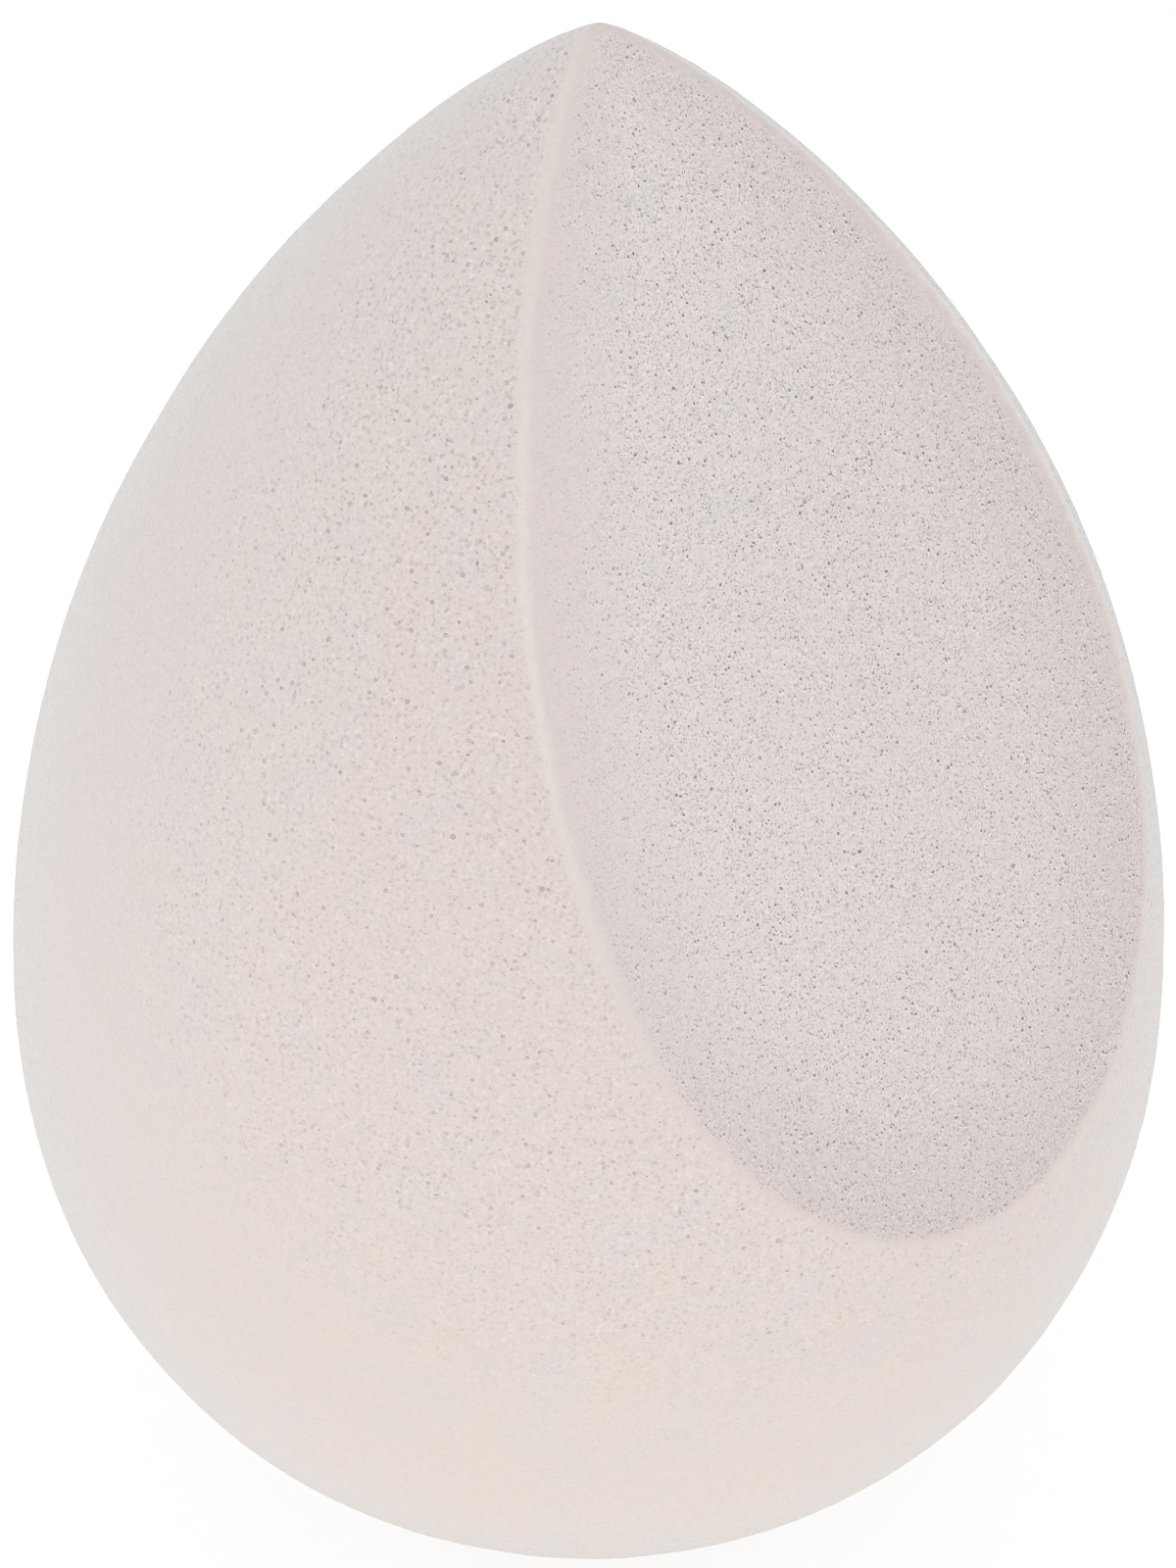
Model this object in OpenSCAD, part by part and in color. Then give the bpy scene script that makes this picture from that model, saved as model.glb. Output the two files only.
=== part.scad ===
// Makeup sponge: one block of soft foam, a drop that stands on its round end,
// with one slanted flat face cut down its front from the tip.
// Millimetres, +Z up, origin in the middle of the foot, cut face towards -Y.

/* [Drop] */
// Height of the whole drop, from the round bottom to the tip, before the foot and the cut
drop_h = 60; // [48:0.5:75]
// Diameter of the drop at its widest station
drop_d = 40; // [32:0.5:50]
// Height of the widest station above the round bottom
widest_h = 20.9; // [16:0.1:26]
// Power of the curve up to the tip: a higher one keeps the sides full for longer
taper_power = 2.09; // [1.8:0.01:2.6]
// Power that closes the tip: 0.5 rounds it like a ball, and 1 points it like a cone
tip_power = 0.9; // [0.7:0.01:1]
// Power of the curve down to the bottom: 2 is an ellipse, and a higher one is fuller
bottom_power = 2.22; // [2:0.01:2.6]

/* [Slanted cut] */
// Angle between the cut face and the upright axis, in degrees
cut_tilt = 27.8; // [24:0.1:34]
// Distance below the tip at which the cut face crosses the upright axis
tip_trim = 0.4; // [0.1:0.05:2]

/* [Foot] */
// Depth of round bottom that the flat foot takes away
foot_depth = 0.5; // [0.3:0.05:1.5]

/* [Hidden] */

drop_r = drop_d / 2;
// Heights above the foot, which is at zero
widest_z = widest_h - foot_depth;
tip_z = drop_h - foot_depth;
// Points along each of the outline's two curves, and faces on a mesh preview of a turn
curve_steps = 32;
$fn = 128;
// A quarter of a turn: each curve runs through it, which packs its points where it bends most
quarter = 90;
// The quarter turn starts here on the lower curve, where the foot ends
foot_angle = acos(1 - foot_depth / widest_h);
// What the cutting block has beyond the drop on every side
overrun = 2;
block = drop_h + overrun;

// Radius of the drop below its widest station, by the share of the way down to the bottom
function lower_r(down_share) = drop_r * sqrt(1 - pow(down_share, bottom_power));

// Radius of the drop above its widest station, by the share of the way up to the tip
function upper_r(up_share) = drop_r * pow(1 - pow(up_share, taper_power), tip_power);

// Outline of the right half of the drop, from the foot's rim to the widest station
lower_curve = [
    for (step = [0:curve_steps])
        let (turn = foot_angle + (quarter - foot_angle) * step / curve_steps)
            [lower_r(cos(turn)), widest_z - widest_h * cos(turn)]
];

// The same outline from above the widest station to the tip, which lies on the axis
upper_curve = [
    for (step = [1:curve_steps])
        let (turn = quarter * step / curve_steps)
            [upper_r(sin(turn)), widest_z + (tip_z - widest_z) * sin(turn)]
];

// The whole drop with its foot, round about its upright axis
module drop() {
    rotate_extrude()
        polygon(concat([[0, 0]], lower_curve, upper_curve));
}

// Everything in front of the slanted face, which leans back to the tip
module cut_away() {
    translate([0, 0, tip_z - tip_trim])
        rotate([-cut_tilt, 0, 0])
            translate([-block / 2, -block, -block])
                cube([block, block, block + overrun]);
}

// The sponge: the drop without what the slanted face takes off its front
module foam_body() {
    color("#E3D9D4")
        difference() {
            drop();
            cut_away();
        }
}

foam_body();
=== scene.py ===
"""A makeup sponge: one drop of soft foam with a slanted cut face, on a white studio floor.

Lengths are metres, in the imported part's own frame: the foot stands on z = 0, the drop's axis is Z,
and the cut face looks towards -Y.
"""

import logging
import math
from dataclasses import dataclass, field
from enum import Enum
from typing import NamedTuple

import bmesh
import bpy
import numpy as np
from mathutils import Matrix, Vector


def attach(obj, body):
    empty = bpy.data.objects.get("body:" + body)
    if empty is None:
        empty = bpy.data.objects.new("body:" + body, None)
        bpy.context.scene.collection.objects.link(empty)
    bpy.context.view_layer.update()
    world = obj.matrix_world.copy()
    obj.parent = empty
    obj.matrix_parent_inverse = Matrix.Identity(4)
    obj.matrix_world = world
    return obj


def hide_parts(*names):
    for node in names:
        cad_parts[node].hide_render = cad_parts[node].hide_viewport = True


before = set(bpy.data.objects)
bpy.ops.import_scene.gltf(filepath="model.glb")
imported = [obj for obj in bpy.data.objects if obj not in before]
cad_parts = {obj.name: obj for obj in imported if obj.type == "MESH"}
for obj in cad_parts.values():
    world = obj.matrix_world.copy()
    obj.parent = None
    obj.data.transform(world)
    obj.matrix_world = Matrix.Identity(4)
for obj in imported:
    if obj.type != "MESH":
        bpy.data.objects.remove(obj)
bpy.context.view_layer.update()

MM = 0.001
FOAM_NODE = "foam_body"
BODY = "root"

# Pixels that the render's filter blends, fewer than by default, so that the pores stay crisp
FILTER_PIXELS = 1.0
# Settings of a Map Range node that eases from one value to another
EASED = {"interpolation_type": "SMOOTHSTEP"}
# Detail of a Noise Texture node, which is how often finer waves are added to its own
ONE_FINER, TWO_FINER = 1.0, 2.0
WHITE = (1.0, 1.0, 1.0, 1.0)

Tree = bpy.types.NodeTree
Node = bpy.types.Node
Socket = bpy.types.NodeSocket
# What an input of a node is fed with; of a node, its first output
Feed = float | tuple[float, ...] | Socket | Node

log = logging.getLogger("makeup_sponge")


def linear(hex_colour: str) -> tuple[float, float, float, float]:
    """Turns a screen colour into the linear values that shaders use.

    Args:
        hex_colour: Six hex digits of sRGB, such as "E3D9D4".

    Returns:
        Red, green, blue and an alpha of 1.
    """
    shares = [int(hex_colour[i : i + 2], 16) / 255 for i in (0, 2, 4)]
    bright = [s / 12.92 if s <= 0.04045 else ((s + 0.055) / 1.055) ** 2.4 for s in shares]
    return bright[0], bright[1], bright[2], 1.0


def add_node(
    tree: Tree, kind: str, *ordered: Feed, named: dict[str, Feed] | None = None, **settings: str | bool
) -> Node:
    """Adds one shader node, sets it and links what feeds it.

    Args:
        tree: The node tree of a material or a world.
        kind: The node's type without its "ShaderNode" prefix.
        ordered: What the inputs that the node shows get, in their order.
        named: The same for inputs by their names.
        settings: The node's own properties, such as operation.

    Returns:
        The new node.
    """
    node = tree.nodes.new(f"ShaderNode{kind}")
    for name, value in settings.items():
        setattr(node, name, value)
    shown = [socket for socket in node.inputs if socket.enabled]
    by_name = [(node.inputs[name], feed) for name, feed in (named or {}).items()]
    for socket, feed in [*zip(shown, ordered), *by_name]:
        if isinstance(feed, Node):
            feed = next(output for output in feed.outputs if output.enabled)
        if isinstance(feed, Socket):
            tree.links.new(feed, socket)
        else:
            socket.default_value = feed
    return node


def link_object(name: str, data: bpy.types.ID) -> bpy.types.Object:
    """Makes an object from a mesh, lamp or camera and puts it in the scene.

    Args:
        name: The object's name.
        data: What the object shows.

    Returns:
        The new object.
    """
    made = bpy.data.objects.new(name, data)
    bpy.context.scene.collection.objects.link(made)
    return made


def freeze(source: bpy.types.Object, name: str) -> bpy.types.Object:
    """Makes a piece's modifiers permanent.

    Args:
        source: The object with live modifiers, which is removed.
        name: The name of the new object and its mesh.

    Returns:
        A plain object with the finished mesh.
    """
    seen = source.evaluated_get(bpy.context.evaluated_depsgraph_get())
    mesh = bpy.data.meshes.new_from_object(seen)
    mesh.name = name
    bpy.data.objects.remove(source)
    return link_object(name, mesh)


def vertex_places(mesh: bpy.types.Mesh) -> np.ndarray:
    """Reads where a mesh's vertices are.

    Args:
        mesh: The mesh.

    Returns:
        One row of x, y and z for each vertex, in metres.
    """
    places = np.empty(len(mesh.vertices) * 3, np.float32)
    mesh.vertices.foreach_get("co", places)
    return places.reshape(-1, 3).astype(float)


@dataclass(frozen=True)
class DropShape:
    """The sponge's outline and its slanted cut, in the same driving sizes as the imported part."""

    drop_height: float = 60.0 * MM
    drop_width: float = 40.0 * MM
    widest_height: float = 20.9 * MM
    taper_power: float = 2.09
    tip_power: float = 0.9
    bottom_power: float = 2.22
    cut_tilt: float = math.radians(27.8)
    tip_trim: float = 0.4 * MM
    foot_depth: float = 0.5 * MM
    # Height between the two radii that a slope is worked out from, up and down
    slope_step: float = 0.01 * MM

    @property
    def widest_z(self) -> float:
        """Height of the widest station above the foot."""
        return self.widest_height - self.foot_depth

    @property
    def tip_z(self) -> float:
        """Height of the untrimmed tip above the foot."""
        return self.drop_height - self.foot_depth

    @property
    def cut_normal(self) -> Vector:
        """The direction that the cut face looks in."""
        return Vector((0.0, -math.cos(self.cut_tilt), math.sin(self.cut_tilt)))

    @property
    def cut_point(self) -> Vector:
        """The point where the cut face crosses the drop's axis."""
        return Vector((0.0, 0.0, self.tip_z - self.tip_trim))

    def radius(self, heights: np.ndarray) -> np.ndarray:
        """The drop's radius at some heights above the foot.

        Args:
            heights: Heights in metres.

        Returns:
            One radius for each height.
        """
        up = np.clip((heights - self.widest_z) / (self.tip_z - self.widest_z), 0, 1)
        down = np.clip((self.widest_z - heights) / self.widest_height, 0, 1)
        above = (1 - up**self.taper_power) ** self.tip_power
        below = np.sqrt(1 - down**self.bottom_power)
        return self.drop_width / 2 * np.where(heights >= self.widest_z, above, below)

    def slope(self, heights: np.ndarray) -> np.ndarray:
        """How fast the drop's radius changes with height.

        Args:
            heights: Heights in metres.

        Returns:
            Metres of radius for a metre of height, below zero where the drop narrows.
        """
        wider = self.radius(heights + self.slope_step) - self.radius(heights - self.slope_step)
        return wider / (2 * self.slope_step)

    def outline(self, steps: int) -> list[Vector]:
        """The right half of the drop's outline, from the middle of the foot to the tip.

        Args:
            steps: Points along each of the outline's two curves.

        Returns:
            Points in the XZ plane.
        """
        foot_angle = math.acos(1 - self.foot_depth / self.widest_height)
        lower = np.linspace(foot_angle, math.pi / 2, steps)
        upper = np.linspace(0, math.pi / 2, steps)[1:]
        heights = np.concatenate(
            [
                self.widest_z - self.widest_height * np.cos(lower),
                self.widest_z + (self.tip_z - self.widest_z) * np.sin(upper),
            ]
        )
        points = [Vector((r, 0.0, z)) for r, z in zip(self.radius(heights), heights)]
        points[-1].x = 0.0
        return [Vector(), *points]


@dataclass(frozen=True)
class Relief:
    """One size of the foam's unevenness, from its slow swell down to its small dimples."""

    name: str
    size: float
    depth: float


@dataclass
class FoamBody:
    """The one piece of foam, as a fine even net that takes the foam's small unevenness."""

    shape: DropShape = field(default_factory=DropShape)
    outline_steps: int = 90
    turn_steps: int = 240
    # Points of the turned outline that are nearer to each other than this are one
    merged: float = 0.0017 * MM
    # Side of the net's squares
    net: float = 0.17 * MM
    # Passes that round the edges, and the share of the way to its neighbours that each moves a point
    edge_passes: int = 9
    edge_pull: float = 0.5
    reliefs: tuple[Relief, ...] = (
        Relief("swell", size=9.0 * MM, depth=0.12 * MM),
        Relief("dimples", size=1.3 * MM, depth=0.03 * MM),
        Relief("grain", size=0.5 * MM, depth=0.02 * MM),
    )
    # Heights below which the foam is flat and above which it is as uneven as it gets, and steps between
    flat_below: float = 0.3 * MM
    uneven_above: float = 3.0 * MM
    weight_levels: int = 20
    # Sine of the smallest turn between skin and cut that the way to the edge is worked out with
    least_turn: float = 0.3
    # The axis has no way out from it, so the middle is taken to be at least this far out
    least_out: float = 0.017 * MM

    def build(self) -> bpy.types.Object:
        """Makes the finished piece, with the way to the cut's edge stored on it."""
        block = self._turn_and_cut()
        net = self._even_net(block)
        foam = self._uneven(net)
        self._store_across(foam.data)
        return foam

    def _turn_and_cut(self) -> bpy.types.Object:
        """Turns the outline about the axis, slices the front off and closes the slice."""
        bm = bmesh.new()
        verts = [bm.verts.new(point) for point in self.shape.outline(self.outline_steps)]
        edges = [bm.edges.new(pair) for pair in zip(verts, verts[1:])]
        bmesh.ops.spin(
            bm,
            geom=[*verts, *edges],
            cent=(0, 0, 0),
            axis=(0, 0, 1),
            angle=2 * math.pi,
            steps=self.turn_steps,
            use_merge=True,
        )
        bmesh.ops.remove_doubles(bm, verts=bm.verts, dist=self.merged)
        sliced = bmesh.ops.bisect_plane(
            bm,
            geom=[*bm.verts, *bm.edges, *bm.faces],
            plane_co=self.shape.cut_point,
            plane_no=self.shape.cut_normal,
            clear_outer=True,
        )
        rim = [item for item in sliced["geom_cut"] if isinstance(item, bmesh.types.BMEdge)]
        bmesh.ops.contextual_create(bm, geom=rim)
        bmesh.ops.recalc_face_normals(bm, faces=bm.faces)
        mesh = bpy.data.meshes.new("foam_block")
        bm.to_mesh(mesh)
        bm.free()
        return link_object("foam_block", mesh)

    def _even_net(self, block: bpy.types.Object) -> bpy.types.Object:
        """Lays an even net over the block and rounds its edges.

        Args:
            block: The cut drop with sharp edges, which is used up.

        Returns:
            The net, with no modifier left on it.
        """
        block.modifiers.new("Even net", "REMESH").voxel_size = self.net
        rounding = block.modifiers.new("Soft edges", "SMOOTH")
        rounding.factor, rounding.iterations = self.edge_pull, self.edge_passes
        return freeze(block, "foam_net")

    def _uneven(self, net: bpy.types.Object) -> bpy.types.Object:
        """Makes the net uneven like foam, except at the foot, which stays flat on the floor.

        Args:
            net: The even net, which is used up.

        Returns:
            The finished piece, with no modifier left on it.
        """
        heights = vertex_places(net.data)[:, 2]
        share = np.clip((heights - self.flat_below) / (self.uneven_above - self.flat_below), 0, 1)
        levels = np.round(share * self.weight_levels).astype(int)
        group = net.vertex_groups.new(name="uneven")
        for level in range(self.weight_levels + 1):
            group.add(np.flatnonzero(levels == level).tolist(), level / self.weight_levels, "REPLACE")
        # A middle level of a half moves the net out as far as in
        for relief in self.reliefs:
            texture = bpy.data.textures.new(relief.name, "CLOUDS")
            texture.noise_scale, texture.noise_depth = relief.size, 1
            layer = net.modifiers.new(relief.name, "DISPLACE")
            layer.texture, layer.texture_coords = texture, "LOCAL"
            layer.strength, layer.mid_level, layer.vertex_group = relief.depth, 0.5, group.name
        foam = freeze(net, "foam")
        foam.data.polygons.foreach_set("use_smooth", [True] * len(foam.data.polygons))
        return foam

    def _store_across(self, mesh: bpy.types.Mesh) -> None:
        """Stores on each vertex how far it lies from the cut's edge, in millimetres along the surface.

        Args:
            mesh: The finished net. It gets "across", below zero on the skin and above on the cut.
        """
        places = vertex_places(mesh)
        out, heights = np.hypot(places[:, 0], places[:, 1]), places[:, 2]
        slope = self.shape.slope(heights)
        lean = np.sqrt(1 + slope**2)
        around = places[:, :2] / np.maximum(out, self.least_out)[:, None]
        skin_normals = np.column_stack((around, -slope)) / lean[:, None]
        cut_normal = np.array(self.shape.cut_normal)
        turn = np.sqrt(np.clip(1 - (skin_normals @ cut_normal) ** 2, self.least_turn**2, 1))
        under_skin = (self.shape.radius(heights) - out) / lean
        under_cut = (np.array(self.shape.cut_point) - places) @ cut_normal
        across = mesh.attributes.new("across", "FLOAT", "POINT")
        across.data.foreach_set("value", ((under_skin - under_cut) / turn / MM).astype(np.float32))


class Fade(NamedTuple):
    """A change between two places or values, in the order of a Map Range node's inputs."""

    start: float
    end: float
    before: Feed = 0.0
    after: Feed = 1.0

    def up_to(self, after: Feed) -> "Fade":
        """The same fade, which ends in another value."""
        return self._replace(after=after)


class Coat(NamedTuple):
    """The foam's colour, and its fine relief as a height in metres."""

    colour: Feed
    relief: Feed


class Surface(Enum):
    """The foam's surfaces that a layer of its texture can show on."""

    SKIN = "moulded skin"
    CUT = "cut face"
    BOTH = "skin and cut face"


@dataclass(frozen=True)
class Inks:
    """The foam's colours, as sRGB: the two surfaces, their faint patches, and the painted light and
    shade.
    """

    skin: str = "E5DBD9"
    skin_cool: str = "DFDCDA"
    # Painted cool light on the skin behind
    skin_painted_cool_light: str = "E5DEDC"
    # Warm patches, and painted warm light low on the skin
    skin_warm: str = "E6DBD3"
    cut: str = "EAE0DF"
    cut_cool: str = "E2E0DE"
    # Painted shade on the cut: low down, towards its right and along its edge
    cut_painted_shade: str = "D8CECB"
    # Painted highlight along the cut's rounded edge
    rim: str = "ECE4E0"
    # Painted shade in the pores' hollows
    pore_shade: str = "776B67"
    # Painted highlights beside the pores
    painted_highlight: str = "FBF7F4"


@dataclass(frozen=True)
class FoamZones:
    """Nodes that say where on the foam a point lies.

    Place and split are its coordinates in metres, and across is how far it lies from the cut's edge
    in millimetres. The rest go from 0 to about 1, and open_pores has one node for each surface.
    """

    place: Socket
    split: Node
    across: Node
    on_cut: Node
    # The strength of the painted highlight along the cut's edge
    rim: Node
    open_pores: dict[Surface, Node]


@dataclass(frozen=True)
class ZoneMap:
    """Where the skin ends, the cut begins and the pores are open.

    Distances from the cut's edge are millimetres, below zero on the skin. Heights, and places
    sideways and backward, are metres. The edge is rounder, has a stronger painted highlight and is
    freer of pores towards the tip than low on the cut.
    """

    upper_cut: Fade = Fade(26 * MM, 42 * MM)

    # How far the edge wanders, and lies inside or outside the sharp one
    wander_size: float = 0.6 * MM
    wander: Fade = Fade(0.0, 1.0, -0.25, 0.25)
    left_to_right: Fade = Fade(-5 * MM, 5 * MM, 0.18, -0.22)
    inset: Fade = Fade(25 * MM, 40 * MM)
    tip_inset: Fade = Fade(47 * MM, 56 * MM, 0.0, -0.28)

    # The change from skin to cut, and the painted highlight along it
    on_cut: Fade = Fade(-0.17, 0.25)
    highlight_from_skin: Fade = Fade(-0.36, 0.0)
    highlight_to_cut: Fade = Fade(0.5, 0.05)
    highlight_at_tip: Fade = Fade(46 * MM, 56 * MM, after=0.6)

    # Clusters of many and of few pores
    cluster_size: float = 1.2 * MM
    clusters: Fade = Fade(0.3, 0.7, 0.82, 1.1)

    # The skin is open towards the cut and the tip, and closed round the bottom and the back
    skin_pores: Fade = Fade(-0.05, -0.35)
    skin_front: Fade = Fade(7 * MM, -1 * MM, 0.35, 1.0)
    skin_upper: Fade = Fade(34 * MM, 54 * MM, 0.9, 1.25)
    open_way: tuple[float, float, float] = (-0.25, -0.55, 0.8)
    open_skin: Fade = Fade(21.5 * MM, 32 * MM, before=0.08)

    # The cut's pores start a little inside the edge, and are fewer beside it high on the left
    first_pores: Fade = Fade(0.0, 1.0, -0.05, 0.2)
    all_pores: Fade = Fade(0.0, 1.0, 0.2, 1.1)
    outer_upper: Fade = Fade(-8 * MM, 3 * MM, 0.35, 1.0)
    outer_lower: float = 0.95
    inner: Fade = Fade(0.5, 7.5, after=1.15)

    def add(self, tree: Tree) -> FoamZones:
        """Adds the nodes that tell the zones apart.

        Args:
            tree: The foam's node tree.

        Returns:
            The zones.
        """
        place = add_node(tree, "TexCoord").outputs["Object"]
        split = add_node(tree, "SeparateXYZ", place)
        upper = add_node(tree, "MapRange", split.outputs["Z"], *self.upper_cut, **EASED)
        across = self._across(tree, place, split)
        on_cut = add_node(tree, "MapRange", across, *self.on_cut, **EASED)
        # The painted highlight along the cut's edge
        rim = self._edge_highlight(tree, split, across, upper)
        clusters = add_node(tree, "TexNoise", place, 1 / self.cluster_size, ONE_FINER)
        clusters = add_node(tree, "MapRange", clusters, *self.clusters, **EASED)
        skin = self._skin_pores(tree, place, split, across, clusters)
        cut = self._cut_pores(tree, split, across, upper, clusters)
        both = add_node(tree, "Math", skin, cut, operation="ADD")
        open_pores = {Surface.SKIN: skin, Surface.CUT: cut, Surface.BOTH: both}
        return FoamZones(place, split, across, on_cut, rim, open_pores)

    def _across(self, tree: Tree, place: Socket, split: Node) -> Node:
        """Adds the distance from the cut's soft edge, which wanders and isn't quite the sharp one.

        Args:
            tree: The foam's node tree.
            place: Coordinates in metres.
            split: The same coordinates one by one.

        Returns:
            A node that gives the distance in millimetres.
        """
        height = split.outputs["Z"]
        across = add_node(tree, "Attribute", attribute_name="across").outputs["Fac"]
        wander = add_node(tree, "TexNoise", place, 1 / self.wander_size, TWO_FINER)
        wander = add_node(tree, "MapRange", wander, *self.wander)
        sides = add_node(tree, "MapRange", split.outputs["X"], *self.left_to_right, **EASED)
        inset = add_node(tree, "MapRange", height, *self.inset.up_to(sides), **EASED)
        tip_inset = add_node(tree, "MapRange", height, *self.tip_inset, **EASED)
        across = add_node(tree, "Math", across, wander, operation="ADD")
        across = add_node(tree, "Math", across, inset, operation="SUBTRACT")
        return add_node(tree, "Math", across, tip_inset, operation="SUBTRACT")

    def _edge_highlight(self, tree: Tree, split: Node, across: Node, upper: Node) -> Node:
        """Adds the painted highlight along the rounded edge.

        Args:
            tree: The foam's node tree.
            split: Coordinates in metres, one by one.
            across: The distance from the cut's edge in millimetres.
            upper: How far up the cut a point is, from 0 to 1.

        Returns:
            A node that gives the painted highlight's strength.
        """
        bright = self.highlight_at_tip._replace(before=upper)
        bright = add_node(tree, "MapRange", split.outputs["Z"], *bright, **EASED)
        rise = add_node(tree, "MapRange", across, *self.highlight_from_skin.up_to(bright), **EASED)
        fall = add_node(tree, "MapRange", across, *self.highlight_to_cut, **EASED)
        return add_node(tree, "Math", rise, fall, operation="MULTIPLY")

    def _skin_pores(self, tree: Tree, place: Socket, split: Node, across: Node, clusters: Node) -> Node:
        """Adds how open the skin's pores are.

        Args:
            tree: The foam's node tree.
            place: Coordinates in metres.
            split: The same coordinates one by one.
            across: The distance from the cut's edge in millimetres.
            clusters: How many pores there are here.

        Returns:
            A node that gives their strength.
        """
        skin_side = add_node(tree, "MapRange", across, *self.skin_pores.up_to(clusters), **EASED)
        front = add_node(tree, "MapRange", split.outputs["Y"], *self.skin_front, **EASED)
        most = add_node(tree, "MapRange", split.outputs["Z"], *self.skin_upper, **EASED)
        most = add_node(tree, "Math", most, front, operation="MULTIPLY")
        way = add_node(tree, "VectorMath", place, self.open_way, operation="DOT_PRODUCT")
        open_skin = add_node(tree, "MapRange", way, *self.open_skin.up_to(most), **EASED)
        return add_node(tree, "Math", skin_side, open_skin, operation="MULTIPLY")

    def _cut_pores(self, tree: Tree, split: Node, across: Node, upper: Node, clusters: Node) -> Node:
        """Adds how open the cut face's pores are.

        Args:
            tree: The foam's node tree.
            split: Coordinates in metres, one by one.
            across: The distance from the cut's edge in millimetres.
            upper: How far up the cut a point is, from 0 to 1.
            clusters: How many pores there are here.

        Returns:
            A node that gives their strength.
        """
        first = add_node(tree, "MapRange", upper, *self.first_pores)
        full = add_node(tree, "MapRange", upper, *self.all_pores)
        outer = add_node(tree, "MapRange", split.outputs["X"], *self.outer_upper, **EASED)
        outer = add_node(tree, "MapRange", upper, 0.0, 1.0, self.outer_lower, outer)
        inner = add_node(tree, "MapRange", across, *self.inner._replace(before=outer), **EASED)
        inner = add_node(tree, "Math", inner, clusters, operation="MULTIPLY")
        return add_node(tree, "MapRange", across, first, full, 0.0, inner, **EASED)


@dataclass(frozen=True)
class Ground:
    """Both surfaces' plain colours, with their faint cool and warm patches.

    The skin is warmer low down, which is painted warm light, and cooler behind, which is painted
    cool light. The cut is cooler high up, and darker low down, towards its right and along its edge,
    which is painted shade.
    """

    inks: Inks
    patch_size: float = 2.0 * MM
    cool: Fade = Fade(0.48, 0.68, after=0.6)
    warm: Fade = Fade(0.5, 0.34, after=0.4)
    # Painted warm light low on the skin
    painted_warm_light_low: Fade = Fade(34 * MM, 12 * MM, after=0.3)
    # Painted cool light on the skin behind
    behind: Fade = Fade(-12 * MM, 6 * MM, after=0.75)
    cool_upper: Fade = Fade(30 * MM, 48 * MM)
    # Painted shade on the cut: low down, towards its right and along its edge
    painted_shade_low: Fade = Fade(34 * MM, 22 * MM, after=0.27)
    painted_shade_right: Fade = Fade(-10 * MM, 12 * MM, after=0.26)
    # By the distance from the cut's edge, in millimetres
    painted_shade_edge: Fade = Fade(0.0, 7.0, 0.36, 0.0)

    def add(self, tree: Tree, zones: FoamZones) -> Node:
        """Adds the nodes that colour the foam below its grain and pores.

        Args:
            tree: The foam's node tree.
            zones: Where the skin, the cut and the edge are.

        Returns:
            A node that gives the colour.
        """
        spots = add_node(tree, "TexNoise", zones.place, 1 / self.patch_size, TWO_FINER)
        cool = add_node(tree, "MapRange", spots, *self.cool, **EASED)
        skin = self._skin(tree, zones, spots, cool)
        cut = self._cut(tree, zones, cool)
        both = add_node(tree, "Mix", zones.on_cut, skin, cut, data_type="RGBA")
        # The painted highlight along the cut's edge
        return add_node(tree, "Mix", zones.rim, both, linear(self.inks.rim), data_type="RGBA")

    def _skin(self, tree: Tree, zones: FoamZones, spots: Node, cool: Node) -> Node:
        """Adds the skin's colour, with painted warm light low down and painted cool light behind.

        Args:
            tree: The foam's node tree.
            zones: Where on the foam a point lies.
            spots: The noise of the patches.
            cool: How strong the cool patches are.

        Returns:
            A node that gives the colour.
        """
        inks = self.inks
        warm = add_node(tree, "MapRange", spots, *self.warm, **EASED)
        # Painted warm light low down, on top of the warm patches
        low = add_node(tree, "MapRange", zones.split.outputs["Z"], *self.painted_warm_light_low, **EASED)
        warm = add_node(tree, "Math", warm, low, operation="ADD", use_clamp=True)
        # Painted cool light behind
        behind = add_node(tree, "MapRange", zones.split.outputs["Y"], *self.behind, **EASED)
        skin = add_node(tree, "Mix", warm, linear(inks.skin), linear(inks.skin_warm), data_type="RGBA")
        skin = add_node(tree, "Mix", cool, skin, linear(inks.skin_cool), data_type="RGBA")
        return add_node(tree, "Mix", behind, skin, linear(inks.skin_painted_cool_light), data_type="RGBA")

    def _cut(self, tree: Tree, zones: FoamZones, cool: Node) -> Node:
        """Adds the cut face's colour, with painted shade low down, towards its right and along its edge.

        Args:
            tree: The foam's node tree.
            zones: Where on the foam a point lies.
            cool: How strong the cool patches are.

        Returns:
            A node that gives the colour.
        """
        inks = self.inks
        sideways, height = zones.split.outputs["X"], zones.split.outputs["Z"]
        high = add_node(tree, "MapRange", height, *self.cool_upper.up_to(cool), **EASED)
        # Painted shade low down, towards the right and along the edge
        low = add_node(tree, "MapRange", height, *self.painted_shade_low, **EASED)
        right = add_node(tree, "MapRange", sideways, *self.painted_shade_right, **EASED)
        edge = add_node(tree, "MapRange", zones.across, *self.painted_shade_edge, **EASED)
        painted_shade = add_node(tree, "Math", low, right, operation="MAXIMUM")
        painted_shade = add_node(tree, "Math", painted_shade, edge, operation="ADD")
        cut = add_node(tree, "Mix", high, linear(inks.cut), linear(inks.cut_cool), data_type="RGBA")
        return add_node(tree, "Mix", painted_shade, cut, linear(inks.cut_painted_shade), data_type="RGBA")


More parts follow.
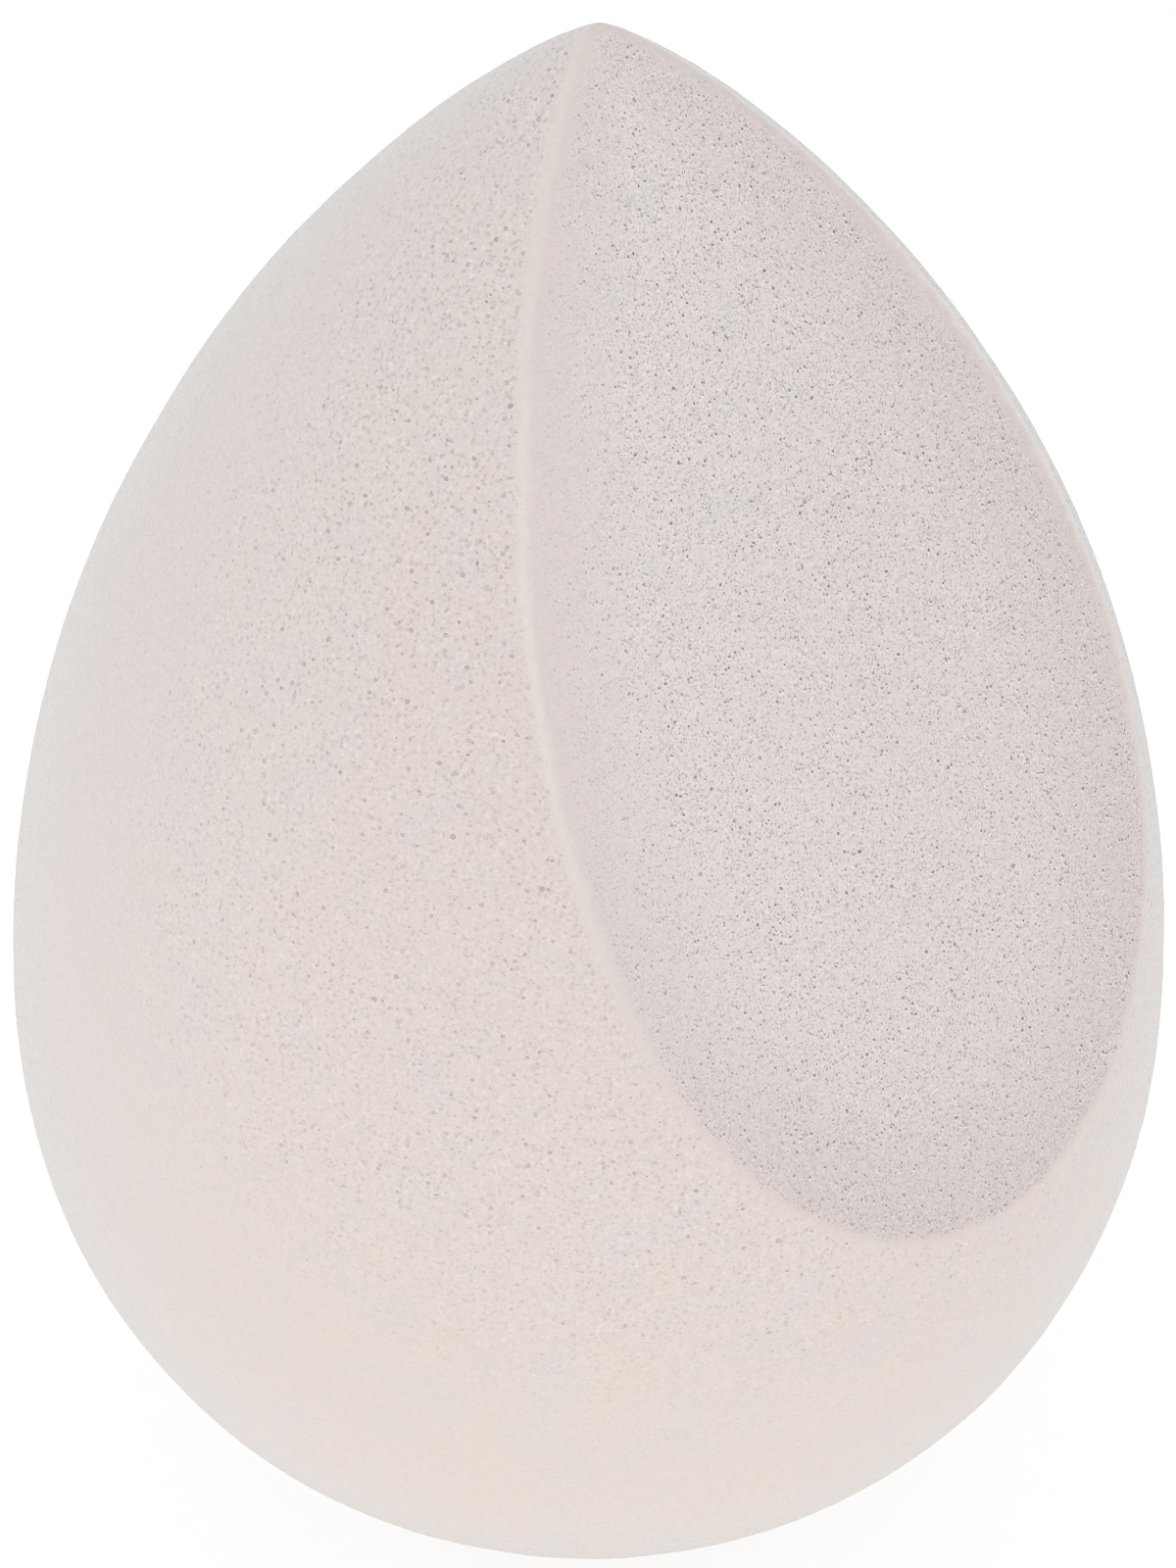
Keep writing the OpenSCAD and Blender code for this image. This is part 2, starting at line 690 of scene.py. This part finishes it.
@dataclass(frozen=True)
class FoamLayer:
    """One size of the foam's open texture: hollows with painted shade in them, and painted highlights
    beside them.

    Shade and the highlight strength say how much of the painted shade's and the painted highlights'
    colours show.
    """

    surface: Surface
    depth: float
    shade: float
    # How strongly the painted highlights beside the hollows show
    painted_highlight: float

    def add(self, tree: Tree, place: Node, share: Node, below: Coat, inks: Inks) -> Coat:
        """Adds the nodes of this layer.

        Args:
            tree: The foam's node tree.
            place: Coordinates in metres, with the foam's small wobble in them.
            share: How strongly the layer shows, from 0 to 1.
            below: The foam without this layer.
            inks: The foam's colours.

        Returns:
            The foam with this layer.
        """
        hollows, painted_highlights = self.marks(tree, place, share)
        # The painted highlights beside the hollows
        painted_highlights = add_node(tree, "Math", painted_highlights, self.painted_highlight, operation="MULTIPLY")
        # The painted shade in the hollows, which also sink into the relief
        shades = add_node(tree, "Math", hollows, self.shade, operation="MULTIPLY")
        colour = add_node(tree, "Mix", painted_highlights, below.colour, linear(inks.painted_highlight), data_type="RGBA")
        colour = add_node(tree, "Mix", shades, colour, linear(inks.pore_shade), data_type="RGBA")
        relief = add_node(tree, "Math", hollows, -self.depth, below.relief, operation="MULTIPLY_ADD")
        return Coat(colour, relief)

    def marks(self, tree: Tree, place: Node, share: Node) -> tuple[Node, Node]:
        """Adds what the layer's own kind draws.

        Args:
            tree: The foam's node tree.
            place: Coordinates in metres, with the foam's small wobble in them.
            share: How strongly the layer shows, from 0 to 1.

        Returns:
            Nodes that give the strength of the hollows and of the painted highlights.
        """
        raise NotImplementedError


@dataclass(frozen=True)
class PoreLayer(FoamLayer):
    """Bubbles of one size that the surface cuts open: most of them faint, a few dark.

    Each has a painted highlight on one side, and its dark spot is painted shade. The two rarities are
    the powers that make strong ones rare, and core is the share of a spot's radius in which it is
    strongest.
    Least_size is the smallest bubble's share of the radius, and shift moves the whole pattern, so that
    it doesn't fall on another layer's.
    """

    spacing: float
    radius: float
    rarity: float
    shift: float = 0.0
    # The power that makes strong painted highlights rare
    highlight_rarity: float = 1.3
    least_size: float = 0.3
    core: float = 0.4
    # How far each painted highlight lies from its pore's middle
    highlight_offset: tuple[float, float, float] = (0.035 * MM, 0.02 * MM, 0.04 * MM)

    def marks(self, tree: Tree, place: Node, share: Node) -> tuple[Node, Node]:
        """Adds a spot of painted shade for each bubble and a painted highlight beside it.

        Args:
            tree: The foam's node tree.
            place: Coordinates in metres, with the foam's small wobble in them.
            share: How strong the strongest spots are, from 0 to 1.

        Returns:
            Nodes that give the strength of the pores' painted shade and of their painted highlights.
        """
        pores = self._spots(tree, place, (0.0, 0.0, 0.0), self.rarity, share)
        painted_highlights = self._spots(tree, place, self.highlight_offset, self.highlight_rarity, share)
        return pores, painted_highlights

    def _spots(
        self, tree: Tree, place: Node, beside: tuple[float, float, float], rarity: float, share: Node
    ) -> Node:
        """Adds one spot for each bubble.

        Args:
            tree: The foam's node tree.
            place: Coordinates in metres.
            beside: How far the spots lie from the bubbles' middles, in metres.
            rarity: The power that makes strong spots rare.
            share: How strong the strongest spot is.

        Returns:
            A node that gives each spot's strength.
        """
        offset = tuple(self.shift + step for step in beside)
        moved = add_node(tree, "VectorMath", place, offset, operation="ADD")
        cells = add_node(tree, "TexVoronoi", moved, 1 / self.spacing)
        luck = add_node(tree, "SeparateColor", cells.outputs["Color"])
        sizes = Fade(0.0, 1.0, self.least_size * self.radius / self.spacing, self.radius / self.spacing)
        edge = add_node(tree, "MapRange", luck.outputs[0], *sizes)
        core = add_node(tree, "Math", edge, self.core, operation="MULTIPLY")
        rare = add_node(tree, "Math", luck.outputs[1], rarity, operation="POWER")
        strength = add_node(tree, "Math", rare, share, operation="MULTIPLY")
        return add_node(tree, "MapRange", cells.outputs["Distance"], edge, core, 0.0, strength, **EASED)


@dataclass(frozen=True)
class CrumbLayer(FoamLayer):
    """Torn cell walls of one size: the low ones sink into the relief and get painted shade, and the high
    ones get painted highlights.

    The two fades are the low and the high stretch of a noise that they come from.
    """

    size: float
    torn: Fade = Fade(0.42, 0.26)
    highlit_crumbs: Fade = Fade(0.57, 0.74)

    def marks(self, tree: Tree, place: Node, share: Node) -> tuple[Node, Node]:
        """Adds the low crumbs with painted shade and the high ones with painted highlights.

        Args:
            tree: The foam's node tree.
            place: Coordinates in metres, with the foam's small wobble in them.
            share: How strongly the crumbs show, from 0 to 1.

        Returns:
            Nodes that give the strength of the low and of the high crumbs.
        """
        noise = add_node(tree, "TexNoise", place, 1 / self.size, ONE_FINER)
        # The low stretch: crumbs with painted shade
        torn = add_node(tree, "MapRange", noise, *self.torn.up_to(share), **EASED)
        # The high stretch: crumbs with painted highlights
        highlit_crumbs = add_node(tree, "MapRange", noise, *self.highlit_crumbs.up_to(share), **EASED)
        return torn, highlit_crumbs


@dataclass(frozen=True)
class FoamFinish:
    """Pale, matt open-cell foam: a smoother moulded skin, and a cut face full of crisp pores.

    The grain is drawn coarser than the real foam's finest cells, which are too fine to show. Swing is
    how much lighter and darker it makes the foam where the pores are closed, and where they are open.
    The wobble moves the pores' outlines, and the fuzz is the pale sheen of the foam's torn fibres.
    """

    inks: Inks = Inks()
    zone_map: ZoneMap = ZoneMap()
    grain_sizes: tuple[float, ...] = (0.09 * MM, 0.2 * MM)
    grain_height: float = 0.03 * MM
    swing: Fade = Fade(0.0, 1.0, 0.035, 0.06)
    wobble: float = 0.04 * MM
    wobble_size: float = 0.09 * MM
    roughness: float = 0.95
    ior: float = 1.3
    specular: float = 0.25
    fuzz: float = 1.0
    fuzz_roughness: float = 0.3
    fuzz_tint: str = "F0F8F8"
    # From the lowest to the topmost: crumbs, a few large pores, and the many small ones
    layers: tuple[FoamLayer, ...] = (
        CrumbLayer(Surface.SKIN, depth=0.015 * MM, shade=0.16, painted_highlight=0.35, size=0.15 * MM),
        CrumbLayer(Surface.CUT, depth=0.02 * MM, shade=0.14, painted_highlight=0.6, size=0.08 * MM),
        PoreLayer(
            Surface.BOTH,
            depth=0.06 * MM,
            shade=0.34,
            painted_highlight=0.3,
            spacing=0.7 * MM,
            radius=0.11 * MM,
            rarity=1.5,
            shift=57 * MM,
        ),
        PoreLayer(
            Surface.SKIN,
            depth=0.04 * MM,
            shade=0.38,
            painted_highlight=0.4,
            spacing=0.26 * MM,
            radius=0.105 * MM,
            rarity=2.0,
            shift=31 * MM,
        ),
        PoreLayer(
            Surface.CUT,
            depth=0.05 * MM,
            shade=0.72,
            painted_highlight=1.2,
            spacing=0.155 * MM,
            radius=0.073 * MM,
            rarity=1.8,
        ),
    )

    def material(self) -> bpy.types.Material:
        """Makes the foam's material."""
        foam = bpy.data.materials.new("soft_foam")  # dry open-cell polyurethane foam: pale, dusty matt
        foam.use_nodes = True
        tree = foam.node_tree
        tree.nodes.clear()
        zones = self.zone_map.add(tree)
        coat = self._grain(tree, zones, Ground(self.inks).add(tree, zones))
        leaning = self._lean(tree, zones.place)
        for layer in self.layers:
            coat = layer.add(tree, leaning, zones.open_pores[layer.surface], coat, self.inks)
        bump = add_node(tree, "Bump", named={"Height": coat.relief, "Distance": 1.0, "Strength": 1.0})
        look = {
            "Base Color": coat.colour,
            "Normal": bump,
            "Roughness": self.roughness,
            "IOR": self.ior,
            "Specular IOR Level": self.specular,
            "Sheen Weight": self.fuzz,
            "Sheen Roughness": self.fuzz_roughness,
            "Sheen Tint": linear(self.fuzz_tint),
        }
        add_node(tree, "OutputMaterial", add_node(tree, "BsdfPrincipled", named=look))
        return foam

    def _grain(self, tree: Tree, zones: FoamZones, colour: Node) -> Coat:
        """Adds the foam's finest unevenness, which makes it lighter and darker by a few percent.

        Args:
            tree: The foam's node tree.
            zones: Where the pores are open, which is where the grain shows.
            colour: The plain colour.

        Returns:
            The foam with its grain.
        """
        swing = add_node(tree, "MapRange", zones.open_pores[Surface.BOTH], *self.swing)
        relief = 0.0
        for size in self.grain_sizes:
            noise = add_node(tree, "TexNoise", zones.place, 1 / size, ONE_FINER)
            centred = add_node(tree, "MapRange", noise, 0.0, 1.0, -1.0, 1.0)
            tone = add_node(tree, "Math", centred, swing, 1.0, operation="MULTIPLY_ADD")
            colour = add_node(tree, "VectorMath", colour, tone, operation="MULTIPLY")
            relief = add_node(tree, "Math", noise, self.grain_height, relief, operation="MULTIPLY_ADD")
        return Coat(colour, relief)

    def _lean(self, tree: Tree, place: Socket) -> Node:
        """Adds the wobble that keeps the pores from being round.

        Args:
            tree: The foam's node tree.
            place: Coordinates in metres.

        Returns:
            A node that gives the wobbly coordinates.
        """
        noise = add_node(tree, "TexNoise", place, 1 / self.wobble_size, ONE_FINER)
        wobble, reach = noise.outputs["Color"], (2 * self.wobble,) * 3
        return add_node(tree, "VectorMath", wobble, reach, place, operation="MULTIPLY_ADD")


def direction(azimuth: float, elevation: float) -> Vector:
    """The direction of a camera or lamp, seen from the sponge.

    Args:
        azimuth: Degrees round the sponge, 0 in front of the cut face and 90 on its +X side.
        elevation: Degrees above the floor.

    Returns:
        A vector of length 1.
    """
    around, above = math.radians(azimuth), math.radians(elevation)
    level = math.cos(above)
    return Vector((math.sin(around) * level, -math.cos(around) * level, math.sin(above)))


@dataclass(frozen=True)
class SoftLamp:
    """A square softbox that looks at the middle of the sponge, placed in degrees and set in watts."""

    name: str
    azimuth: float
    elevation: float
    power: float
    tint: str
    distance: float = 0.55
    side: float = 0.45

    def build(self, middle: Vector) -> bpy.types.Object:
        """Hangs the lamp.

        Args:
            middle: The point that it looks at.

        Returns:
            The lamp's object.
        """
        light = bpy.data.lights.new(self.name, "AREA")
        light.energy, light.size, light.color = self.power, self.side, linear(self.tint)[:3]
        lamp = link_object(self.name, light)
        towards = direction(self.azimuth, self.elevation)
        lamp.location = middle + towards * self.distance
        lamp.rotation_mode = "QUATERNION"
        lamp.rotation_quaternion = towards.to_track_quat("Z", "Y")
        return lamp


@dataclass(frozen=True)
class PhotoCamera:
    """The photograph's view: a long lens, from the front left and well above the sponge.

    Axis_pixel is where the photograph has the point of the drop's axis at axis_height.
    """

    azimuth: float = -45.0
    elevation: float = 37.87
    roll: float = math.radians(0.78)
    distance: float = 330.0 * MM
    axis_height: float = 29.5 * MM
    axis_pixel: tuple[float, float] = (603.2, 768.6)
    pixels_per_mm: float = 29.74
    picture: tuple[int, int] = (1200, 1600)
    # Millimetres, as Blender has a camera's sensor and lens
    sensor: float = 36.0
    nearest_seen: float = 10 * MM
    farthest_seen: float = 10.0

    def build(self) -> bpy.types.Object:
        """Places the camera, and makes it the scene's."""
        lens = bpy.data.cameras.new("photo_camera")
        lens.sensor_width = self.sensor
        lens.lens = self.pixels_per_mm * self.distance / MM * self.sensor / max(self.picture)
        lens.clip_start, lens.clip_end = self.nearest_seen, self.farthest_seen
        camera = link_object("photo_camera", lens)
        back = direction(self.azimuth, self.elevation)
        level_right = Vector((0, 0, 1)).cross(back).normalized()
        level_up = back.cross(level_right)
        right = level_right * math.cos(self.roll) + level_up * math.sin(self.roll)
        up = back.cross(right)
        axis_point = Vector((0, 0, self.axis_height))
        pixel = MM / self.pixels_per_mm
        off_right = (self.axis_pixel[0] - self.picture[0] / 2) * pixel
        off_up = (self.picture[1] / 2 - self.axis_pixel[1]) * pixel
        aim = axis_point - right * off_right - up * off_up
        place = axis_point + back * self.distance
        looks_back = (place - aim).normalized()
        side = up.cross(looks_back).normalized()
        axes = Matrix((side, looks_back.cross(side), looks_back)).transposed()
        camera.matrix_world = Matrix.Translation(place) @ axes.to_4x4()
        bpy.context.scene.camera = camera
        return camera


@dataclass
class Studio:
    """A glowing white floor that keeps the sponge's shadow, a white room and a soft lamp.

    Glow_seen and paper_seen are the floor's glow and colour as the camera sees them: nearly white,
    with the shadow in it. Neither lights the sponge, which floor_glow and paper do.
    """

    floor_side: float = 3.0
    room_light: float = 0.85
    floor_glow: float = 0.32
    glow_seen: tuple[float, float, float] = (0.72, 0.73, 0.735)
    paper: str = "F0F0F0"
    paper_seen: str = "9E9E9E"
    aim_height: float = 30 * MM
    lamps: tuple[SoftLamp, ...] = (
        SoftLamp("warm_low_softbox", azimuth=-60, elevation=5, power=0.29, tint="FFD5AB"),
    )

    def build(self) -> None:
        """Makes the floor, the room's light and the lamps."""
        self._floor()
        self._room()
        for lamp in self.lamps:
            lamp.build(Vector((0, 0, self.aim_height)))

    def _floor(self) -> None:
        """Lays the floor under the foot."""
        bm = bmesh.new()
        bmesh.ops.create_grid(bm, x_segments=1, y_segments=1, size=self.floor_side / 2)
        mesh = bpy.data.meshes.new("floor")
        bm.to_mesh(mesh)
        bm.free()
        floor = link_object("floor", mesh)
        floor.data.materials.append(self._paper())

    def _paper(self) -> bpy.types.Material:
        """White paper on a light table: it lights the sponge from below, and shows white."""
        paper = bpy.data.materials.new("white_paper")  # seamless studio paper: an even matt white
        paper.use_nodes = True
        tree = paper.node_tree
        tree.nodes.clear()
        seen = self._seen(tree)
        tone = add_node(tree, "Mix", seen, linear(self.paper), linear(self.paper_seen), data_type="RGBA")
        matt = add_node(tree, "BsdfDiffuse", tone)
        unseen_glow = (self.floor_glow,) * 3 + (1.0,)
        glow_colour = add_node(tree, "Mix", seen, unseen_glow, (*self.glow_seen, 1.0), data_type="RGBA")
        glow = add_node(tree, "Emission", glow_colour, 1.0)
        both = add_node(tree, "AddShader", matt, glow)
        add_node(tree, "OutputMaterial", both)
        return paper

    def _room(self) -> None:
        """Sets the room's even light, which the camera sees as pure white."""
        world = bpy.data.worlds.new("white_room")
        world.use_nodes = True
        tree = world.node_tree
        tree.nodes.clear()
        level = add_node(tree, "Mix", self._seen(tree), self.room_light, 1.0)
        light = add_node(tree, "Background", WHITE, level)
        add_node(tree, "OutputWorld", light)
        bpy.context.scene.world = world

    def _seen(self, tree: Tree) -> Node:
        """Adds the test for a ray by which the camera sees something, straight or in a gloss.

        Args:
            tree: The node tree of the floor's paper or of the room.

        Returns:
            A node that gives 1 for such a ray, and 0 for any other.
        """
        rays = add_node(tree, "LightPath").outputs
        seen = add_node(tree, "Math", rays["Is Camera Ray"], rays["Is Glossy Ray"], operation="MAXIMUM")
        return add_node(tree, "Math", seen, rays["Is Transmission Ray"], operation="MAXIMUM")


def main() -> None:
    """Builds the camera, the sponge and its studio, in this order."""
    logging.basicConfig(level=logging.INFO, format="%(name)s: %(message)s")
    PhotoCamera().build()
    log.info("camera placed")
    foam = FoamBody().build()
    foam.data.materials.clear()
    foam.data.materials.append(FoamFinish().material())
    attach(foam, BODY)
    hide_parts(FOAM_NODE)
    log.info("foam built with %d faces", len(foam.data.polygons))
    Studio().build()
    log.info("studio built")
    bpy.context.scene.view_settings.view_transform = "Standard"
    bpy.context.scene.cycles.filter_width = FILTER_PIXELS


if __name__ == "__main__":
    main()
